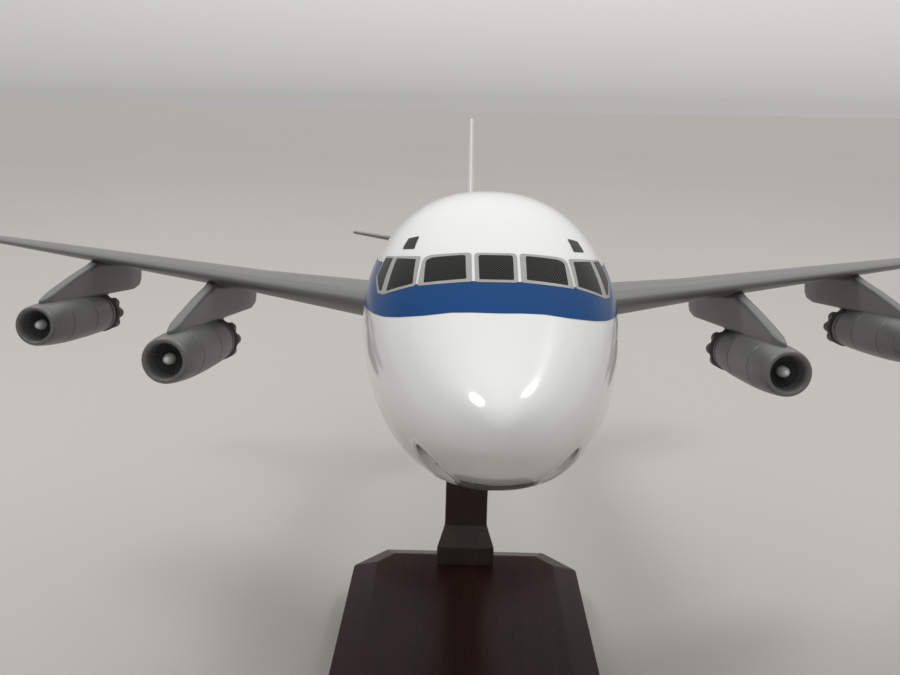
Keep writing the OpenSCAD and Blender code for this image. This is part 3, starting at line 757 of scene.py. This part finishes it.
def chord(x):
    inner = mix(ROOT_CHORD, KINK_CHORD, (x - BODY_HW) / (KINK_X - BODY_HW))
    outer = mix(KINK_CHORD, TIP_CHORD, (x - KINK_X) / (HALF_SPAN - KINK_X))
    return np.where(x < KINK_X, inner, outer)


def thickness_ratio(x):
    return mix(0.115, 0.095, x / HALF_SPAN)


def incidence(x):
    return np.radians(ROOT_INCIDENCE * (1 - x / HALF_SPAN))


def foil_loop(n=44):
    """Chord fraction and side (+1 top, -1 bottom) round an aerofoil from the trailing edge's top."""
    c = (1 - np.cos(np.pi * np.linspace(0, 1, n))) / 2
    return np.concatenate([c[::-1], c[1:]]), np.concatenate([np.ones(n), -np.ones(n - 1)])


def wing_grid():
    c, face = foil_loop()
    straight = HALF_SPAN - WING_ROUND
    xs = np.concatenate([np.linspace(10, KINK_X, 30), np.linspace(KINK_X, straight, 60)[1:],
                         straight + WING_ROUND * np.sin(np.linspace(0, 1, 14)[1:] * np.pi / 2)])
    tip = unit((xs - straight) / WING_ROUND)
    shrink = np.sqrt(np.maximum(1 - tip ** 2, 0.0))
    x, k = xs[:, None], mix(0.35, 1.0, shrink)[:, None]
    full = chord(x)
    size = full * k
    twist = incidence(x)
    thick = thickness_ratio(x) * np.maximum(shrink[:, None], 0.04)
    offset = face * (thick * half_thickness(c) * size + WING_EDGE * c * np.maximum(shrink[:, None], 0.1))
    y = leading_y(x) + full * (1 - k) * TIP_CENTRE + size * c * np.cos(twist)
    z = leading_z(x) + offset - size * c * np.sin(twist)
    return stacked(x, y, z), stacked((x - BODY_HW) / (HALF_SPAN - BODY_HW), c)


def wing_under(x, y):
    """Height of the wing's lower surface."""
    c = chord(x)
    u = unit((y - leading_y(x)) / c)
    drop = thickness_ratio(x) * half_thickness(u) + u * np.sin(incidence(x))
    return leading_z(x) - WING_EDGE * u - c * drop


def both_sides(name, grid, uv, material):
    """A skin on each side, from the port one's grid."""
    for label, side in SIDES.items():
        skin = grid_mesh(f"{name}_{label}_skin", grid * np.array([side, 1, 1]), material, caps=True, uv=uv,
                         flip=side > 0)
        stands_for(skin, "wing_paint", f"{name}_{label}")


def tail_surface(root, tip, thickness):
    """Grid parts of the loft between a root and a tip, with a rounded end."""
    c, face = foil_loop(36)
    span = tip[0] - root[0]
    straight = 1 - TAIL_ROUND / span
    out = np.concatenate([np.linspace(0, straight, 30),
                          1 - TAIL_ROUND / span * (1 - np.sin(np.linspace(0, np.pi / 2, 12)[1:]))])
    end = unit((out - straight) * span / TAIL_ROUND)
    shrink = np.sqrt(np.maximum(1 - end ** 2, 0.0))[:, None]
    k = mix(0.4, 1.0, shrink)
    t = out[:, None]
    full = mix(root[2], tip[2], t)
    along = mix(root[1], tip[1], t) + full * (1 - k) * TIP_CENTRE + full * k * c
    offset = face * (thickness * half_thickness(c) * full * k * np.maximum(shrink, 0.05)
                     + TAIL_EDGE * c * np.maximum(shrink, 0.1))
    return mix(root[0], tip[0], t), along, offset, mix(root[3], tip[3], t), stacked(t, c)


def wings_and_tail():
    both_sides("wing", *wing_grid(), wing_grey)
    out, along, offset, rise, uv = tail_surface(*TAILPLANE)
    both_sides("tailplane", stacked(out, along, rise + offset), uv, tail_grey)
    out, along, offset, _, uv = tail_surface(*FIN)
    fin = grid_mesh("fin_skin", stacked(offset, along, out), fin_white, caps=True, uv=uv)
    stands_for(fin, "body_paint", "fin")


# ---- engines, as in the CAD
# Distance out, inlet aft of the nose, height of the axis, and how far the pylon runs aft of the inlet
ENGINES = {1: (140.3, 178.5, -16.9, 90), 2: (85.0, 141.3, -21.5, 99),
           3: (-85.0, 141.3, -21.5, 99), 4: (-140.3, 178.5, -16.9, 90)}
NACELLE_LEN, LIP_R, LIP_LEN = 52.0, 6.6, 2.0
DUCT_R, DUCT_DEPTH, NOZZLE_LEN, NOZZLE_R, TAILPIPE_R = 4.7, 9.0, 4.5, 7.0, 4.6
PYLON_T, GROOVE, BLADES = 3.2, 0.16, 22
FAN_PLANE, NOZZLE_U, NECK_R = DUCT_DEPTH - 3.6, NACELLE_LEN - NOZZLE_LEN, 5.7
SPINNER_LEN, SPINNER_R, CONE_R, CONE_PROUD = 3.9, 1.65, 2.6, 1.4
LOBES, LOBE_DEPTH, GROOVES = 8, 1.15, (12.0, 29.0, 42.5)
COWL_SIDE = [(2, 6.6), (6, 7.05), (13, 7.35), (21, 7.4), (31, 7.3), (41, 6.85), (46.3, 6.5)]
# Pylon's upper line by distance aft, and its lower line by distance back from its end, as heights
# above the engine's axis
PYLON_TOP = [(4, 7.8), (15, 11.4), (27, 15.0), (40, 18.4), (52, 22.5)]
PYLON_LOW = [(11, 7.3), (4, 8.6), (1, 11.0), (0, 14.5)]


def cowl_r(u):
    """Smooth radius of the cowl, u aft of the inlet."""
    us, rs = np.array(COWL_SIDE).T
    return float(np.polyval(np.polyfit(us, rs, 4), u))


def engine_point(engine, radius, u, angle):
    x, y, z, _ = ENGINES[engine]
    return stacked(x + radius * np.cos(angle), y + u, z + radius * np.sin(angle))


def revolve(name, engine, profile, material, steps=72, wobble=None):
    """Turned piece on an engine's axis, from (distance aft, radius) pairs; wobble changes its radius."""
    u, radius = np.array(profile, float).T[..., None]
    angle = np.linspace(0, 2 * np.pi, steps, endpoint=False)
    if wobble:
        radius = wobble(u, radius, angle)
    return grid_mesh(name, engine_point(engine, radius, u, angle), material)


def lip_profile():
    """Half an ellipse, forward over the lip from its inner edge to its outer one."""
    round_r = 0.95
    half_turn = np.radians(np.linspace(-90, 90, 20))
    return [(LIP_LEN - LIP_LEN * math.cos(t), LIP_R - round_r + round_r * math.sin(t))
            for t in half_turn] + [(LIP_LEN, DUCT_R)]


def cowl_profile():
    """Back along the inside of the duct, then over the outside, with three fine grooves, to the neck."""
    points = [(DUCT_DEPTH, DUCT_R), (LIP_LEN, DUCT_R)]
    points += [(LIP_LEN, LIP_R - 0.12), (LIP_LEN + 0.12, cowl_r(LIP_LEN))]
    for groove in GROOVES:
        points += [(u, cowl_r(u)) for u in np.linspace(points[-1][0] + 0.4, groove - 0.4, 12)]
        r = cowl_r(groove)
        points += [(groove + step, r - depth)
                   for step, depth in ((-0.2, 0), (-0.14, GROOVE), (0.14, GROOVE), (0.2, 0))]
    end = NOZZLE_U - 1.2
    r = cowl_r(end)
    return points + [(end - 0.4, r), (end, r - 0.35), (end, NECK_R), (NOZZLE_U, NECK_R)]


def lobes(u, radius, angle):
    """Scallops the outer skin of the suppressor; the inner pipe stays round."""
    depth = LOBE_DEPTH * smooth((u - NOZZLE_U) / 2.0)
    valley = (0.5 - 0.5 * np.cos(LOBES * angle)) ** 1.6
    return np.where(radius > 5.2, radius - depth * valley, radius)


def nozzle_profile():
    a, b = NOZZLE_U, NACELLE_LEN
    outer = [(a, 5.75), (a, NOZZLE_R - 0.3), (a + 0.25, NOZZLE_R)]
    outer += [(u, NOZZLE_R + 0.18 * math.sin(math.pi * (u - a) / NOZZLE_LEN))
              for u in np.linspace(a + 0.7, b - 0.7, 8)]
    outer += [(b - 0.25, NOZZLE_R - 0.05), (b, NOZZLE_R - 0.3), (b, TAILPIPE_R + 0.35), (b - 0.2, TAILPIPE_R)]
    return outer + [(a - 3.3, TAILPIPE_R)]


def fan_blades(engine):
    """Thin cambered blades, twisted from root to tip."""
    verts, faces = [], []
    half = 0.42
    for hub in 2 * np.pi * np.arange(BLADES) / BLADES:
        start = len(verts)
        for i, r in enumerate(np.linspace(1.5, DUCT_R - 0.05, 6)):
            twist = mix(0.30, 0.75, i / 5)
            for s, camber in ((-1, 0), (0, 0.07), (1, 0)):
                turn = hub + s * half * math.sin(twist) / r
                verts.append(engine_point(engine, r, FAN_PLANE + s * half * math.cos(twist) - camber, turn))
        faces += grid_faces(6, 3, False, start)
    return finish_mesh(f"fan_{engine}_blades", to_row(np.array(verts)), faces, blade_grey, "airframe")


def engine(n):
    def skin(part, profile, material, slot, *shape):
        stands_for(revolve(f"{part}_{n}_skin", n, profile, material, *shape), slot, f"{part}_{n}")

    skin("intake_lip", lip_profile(), lip_grey, "lip_paint")
    skin("cowl", cowl_profile(), cowl_grey, "nacelle_paint")
    back, radius = DUCT_DEPTH - 3.0, DUCT_R - 0.04
    lining = [(LIP_LEN + 0.1, radius), (back, radius), (back, 0.0)]
    stands_for(revolve(f"duct_{n}_lining", n, lining, duct_grey), "fan_paint")
    stands_for(fan_blades(n), "fan_paint", f"fan_{n}")
    dome = [(FAN_PLANE - SPINNER_LEN * math.cos(t) ** 0.9, SPINNER_R * math.sin(t))
            for t in np.linspace(0.01, math.pi / 2, 14)]
    stands_for(revolve(f"spinner_{n}", n, dome + [(FAN_PLANE, 0.0)], spinner_grey, 40), "fan_paint")
    skin("nozzle", nozzle_profile(), pipe_grey, "pipe_paint", 128, lobes)
    root = NOZZLE_U - 3.0
    plug = [(mix(root, NACELLE_LEN + CONE_PROUD, t), CONE_R * math.cos(t * math.pi / 2) ** 0.8)
            for t in np.linspace(0, 1, 16)]
    skin("exhaust_cone", [(root, TAILPIPE_R)] + plug, pipe_grey, "pipe_paint", 48)


def pylon(n):
    """A blade with a rounded front from the nacelle's top to the wing's underside."""
    x0, y0, z0, end = ENGINES[n]
    side = 1 if x0 > 0 else -1
    end = min(end, float(leading_y(abs(x0)) + chord(abs(x0))) - y0 - 0.8)
    us = np.concatenate([4.2 + 8 * np.linspace(0, 1, 16) ** 2, np.linspace(13, end - 14, 60),
                         end - 14 * (1 - np.linspace(0, 1, 30)[1:] ** 0.6)])
    top_line = np.interp(us, *np.transpose(PYLON_TOP))
    low_line = np.interp(us, *np.transpose([(NACELLE_LEN, 6.9)] + [(end - u, low) for u, low in PYLON_LOW]))
    front, rear = unit((us - 3.8) / 6), unit((end + 0.2 - us) / 15)
    half = PYLON_T / 2 * np.sqrt(front) * np.sqrt(np.maximum(rear, 0.02))
    across, soften = np.array([-1, -0.8, 0, 0.8, 1]), np.array([0.5, 0.15, 0, 0.15, 0.5])
    rows = []
    for u, top, low, w in zip(us, top_line, low_line, half):
        x = abs(x0) + across * w
        nacelle = np.where(u < NACELLE_LEN, np.sqrt(np.maximum(6.4 ** 2 - (x - abs(x0)) ** 2, 0)), 0)
        bottom = z0 + np.maximum(low if u > NACELLE_LEN - 6 else 0, nacelle)
        under = np.where(y0 + u > leading_y(x) + 0.4, wing_under(x, y0 + u) + 0.35, 99)
        crown = np.maximum(np.minimum(z0 + top - soften * min(w, 1), under), bottom + 0.05)
        keel = np.minimum(bottom + soften * min(w, 1) * (u > NACELLE_LEN), crown - 0.02)
        heights = np.linspace(0, 1, 8)[1:-1]
        right = [(x[4], mix(keel[4], crown[4], h)) for h in heights]
        left = [(x[0], mix(crown[0], keel[0], h)) for h in heights]
        ring = list(zip(x, keel)) + right + list(zip(x[::-1], crown[::-1])) + left
        rows.append([(side * a, y0 + u, b) for a, b in ring])
    skin = grid_mesh(f"pylon_{n}_skin", np.array(rows), pylon_grey, caps=True, flip=side < 0)
    stands_for(skin, "wing_paint", f"pylon_{n}")


# ---- stand, as in the CAD
BASE_W, BASE_LEN, BASE_T, BEVEL_W, BEVEL_H, CORNER_CUT, FELT_T = 101.6, 152.4, 19.0, 11.0, 5.0, 14.0, 1.0
FOOT_W, POST_W, POST_TOP_W, POST_D, POST_LEAN = 25.8, 18.8, 15.4, 16.0, 51.1
DECK_Z = FELT_T + BASE_T
FOOT_Y = BASE_LEN / 2 - 19.6
FOOT_STEP, WAIST, BUSH_LEN = 8.6, 18.0, 14.0
TENON_Z, TENON_PROUD = 6.0, 0.06
FOOT_SLOPE = (FOOT_W - POST_W) / 2
POST_FOOT_Y = FOOT_Y + FOOT_SLOPE + POST_D / 2
POST_H = POST_TOP[2] - DECK_Z


def base_board():
    def outline(d, z):
        """The board's eight corners, drawn in by d."""
        a, b = BASE_W / 2 - d, BASE_LEN / 2 - d
        c = CORNER_CUT - d * (2 - math.sqrt(2))
        half = [(a, -b + c), (a, b - c), (a - c, b), (-a + c, b)]
        return [(x, y, z) for x, y in half + [(-x, -y) for x, y in half]]
    rings = [outline(0, FELT_T), outline(0, DECK_Z - BEVEL_H), outline(BEVEL_W, DECK_Z)]
    verts = np.array(rings).reshape(-1, 3) * MM
    faces = [tuple(range(7, -1, -1)), tuple(range(16, 24))] + grid_faces(3, 8, True)
    obj = finish_mesh("base_board_skin", verts, faces, base_wood, "stand")
    edges = obj.modifiers.new("edges", "BEVEL")
    edges.width = 0.7 * MM
    edges.segments = 3
    edges.limit_method = "ANGLE"
    edges.angle_limit = math.radians(14)
    edges.harden_normals = True
    stands_for(obj, "base_wood", "base_board")


def post_y(h):
    u = unit((h - WAIST) / (POST_H - WAIST - BUSH_LEN))
    return POST_FOOT_Y - POST_LEAN * (0.25 * u + 0.75 * (1 - np.cos(np.pi * u)) / 2)


def post():
    """Rounded sections up the post, from the tongue let into the board's back edge; the rings stand
    close together at the foot's two creases."""
    shoulder = FOOT_Y + BEVEL_W - 2
    rear = BASE_LEN / 2 + TENON_PROUD
    levels = [TENON_Z - DECK_Z, -1.2, -0.6, 0, 1]
    levels += [crease + step for crease in (FOOT_STEP, WAIST) for step in (-1, -0.3, 0, 0.3, 1)]
    levels += list(np.linspace(WAIST + 2, POST_H + 4, 70))
    rings = []
    for h in levels:
        t = 1.0 if h < -1 else unit((h - FOOT_STEP) / (WAIST - FOOT_STEP))
        if h <= WAIST:
            front_y, front_w = FOOT_Y + FOOT_SLOPE * t, mix(FOOT_W, POST_W, t) / 2
            side_y, side_w, back_y = shoulder, POST_W / 2, rear
        else:
            front_w = side_w = mix(POST_W, POST_TOP_W, (h - WAIST) / (POST_H + 8 - WAIST)) / 2
            front_y, side_y, back_y = post_y(h) + POST_D * np.array([-0.5, -0.25, 0.5])
        half = [(front_w, front_y), (side_w, side_y), (side_w, back_y)]
        flat = rounded(half + mirrored(half[::-1]), (0.9, 0.5, 0.9, 0.9, 0.5, 0.9), 5, 5)
        rings.append(np.column_stack([flat, np.full(len(flat), DECK_Z + h)]))
    grid = np.array(rings)
    limit = POST_TOP[2] - (grid[..., 1] - POST_TOP[1]) * math.tan(ATTITUDE)
    grid = grid[: 1 + int(np.argmax((grid[..., 2] >= limit).all(1)))]
    grid[..., 2] = np.minimum(grid[..., 2], limit[:len(grid)])
    n = grid.shape[1]
    verts = np.vstack([grid.reshape(-1, 3), grid[-1], grid[-1].mean(0)[None], grid[0].mean(0)[None]])
    top, bottom = len(grid) * n, len(verts) - 1
    faces = grid_faces(len(grid), n, True)
    faces += [(top + j, top + (j + 1) % n, bottom - 1) for j in range(n)]
    faces += [(bottom, (j + 1) % n, j) for j in range(n)]
    obj = finish_mesh("post_skin", verts * MM, faces, post_wood, "stand")
    stands_for(obj, "post_wood", "post")


def carried_over():
    """CAD nodes that are shown as they are, with finished materials."""
    screw = metal("screw_steel", rgb(0.5, 0.5, 0.5), 0.3, 2)
    spar = metal("spar_metal", rgb(0.75, 0.75, 0.75), 0.3, 0)
    for node, material in (("felt_pad", felt()), ("post_screws", screw), ("post_bush", brass),
                           ("belly_bush", brass), ("peg", steel), ("wing_spar", spar),
                           ("tail_spar", spar), ("socket_block", block_wood)):
        obj = frame["nodes"][node]
        obj.data.materials.clear()
        obj.data.materials.append(material)


# ---- studio
# Sky brightness at the horizon and overhead, how much dimmer it is ahead of the nose and to the sides,
# and how much brighter to port
HORIZON, ZENITH = 0.445, 1.66
FRONT_SHADE, SIDE_SHADE, PORT_GLOW = 0.38, 0.65, 0.10
LAMP_DISTANCE, FLOOR_HALF = 1.5, 12.0


def stage():
    s = Shader("floor_paper")
    shade = s.blend(s.noise(400, 2), rgb(0.475, 0.455, 0.435), rgb(0.51, 0.49, 0.468))
    paper = s.finish(Base_Color=shade, Roughness=0.85, Normal=s.bump(s.noise(0.6, 3), 0.02, 0.3))
    mesh = bpy.data.meshes.new("floor")
    corners = [(-1, -1), (1, -1), (1, 1), (-1, 1)]
    mesh.from_pydata([(x * FLOOR_HALF, y * FLOOR_HALF, 0) for x, y in corners], [], [(0, 1, 2, 3)])
    mesh.materials.append(paper)
    add_object("floor", mesh)


def lamp(name, kind, target, direction, energy, size):
    """A lamp that shines on target from the given direction; size is its angle, or its width and height."""
    data = bpy.data.lights.new(name, kind)
    data.energy = energy
    if kind == "SUN":
        data.angle = size
    else:
        data.shape = "ELLIPSE"
        data.size, data.size_y = size
    obj = add_object(name, data)
    obj.location = target + Vector(direction) * LAMP_DISTANCE
    obj.rotation_mode = "QUATERNION"
    obj.rotation_quaternion = Vector(direction).to_track_quat("Z", "Y")


def lights():
    """A room that is even at the horizon and brighter overhead, one very soft sun, two small lamps."""
    w = Shader("studio", world=True)

    def map_range(*inputs):
        return (w.add("MapRange", dict(enumerate(inputs))), 0)

    split = w.add("SeparateXYZ", {0: (w.coords, "Generated")})
    x, y, z = ((split, i) for i in range(3))
    height = map_range(w.math("POWER", w.math("MAXIMUM", z), 0.75), 0.0, 1.0, HORIZON, ZENITH)
    above = map_range(z, 0.0, 0.35, 0.0, 1.0)
    front = w.math("MULTIPLY_ADD", y, FRONT_SHADE, -FRONT_SHADE)
    sides = w.times(w.times(x, x), -SIDE_SHADE)
    lateral = w.math("MULTIPLY_ADD", x, PORT_GLOW, 1.0)
    shade = w.math("MULTIPLY_ADD", w.math("ADD", front, sides), above, lateral)
    bpy.context.scene.world = w.finish(Color=rgb(1.0, 0.988, 0.97), Strength=w.times(height, shade))
    nose = Vector(to_row((0, 3, -2.5)))
    lamp("key", "SUN", nose, (0.0, -0.25, 0.97), 0.55, math.radians(75))
    lamp("spot_left", "AREA", nose, (-0.485, 0.206, 0.85), 5.4, (0.52, 0.42))
    lamp("spot_right", "AREA", nose, (0.478, 0.415, 0.774), 2.6, (0.20, 0.31))


def camera():
    """The photograph's viewpoint, in the aircraft's own axes: millimetres and degrees."""
    place, yaw, pitch, roll = (-4.12, -73.54, 12.36), -0.75, 6.84, -1.06
    yaw, pitch, roll = (math.radians(a) for a in (yaw, pitch, roll))
    ahead = np.array([math.sin(yaw) * math.cos(pitch), math.cos(yaw) * math.cos(pitch), -math.sin(pitch)])
    level = np.array([math.cos(yaw), -math.sin(yaw), 0])
    down = np.cross(ahead, level)
    right = level * math.cos(roll) + down * math.sin(roll)
    lower = -level * math.sin(roll) + down * math.cos(roll)
    axes = TILT @ np.stack([right, -lower, -ahead], -1)
    data = bpy.data.cameras.new("camera")
    data.sensor_width = 36
    data.lens = 32.0
    data.clip_start = 0.005
    obj = add_object("camera", data)
    obj.matrix_world = Matrix([[*axes[i], to_row(place)[i]] for i in range(3)] + [[0, 0, 0, 1]])
    bpy.context.scene.camera = obj


camera()
fuselage_skin()
chin_inlets()
cheatline()
cockpit()
for label, side in SIDES.items():
    cabin_side(label, side)
belly_panel()
wings_and_tail()
for number in ENGINES:
    engine(number)
    pylon(number)
base_board()
post()
carried_over()
stage()
lights()
bpy.context.scene.view_settings.view_transform = "Standard"
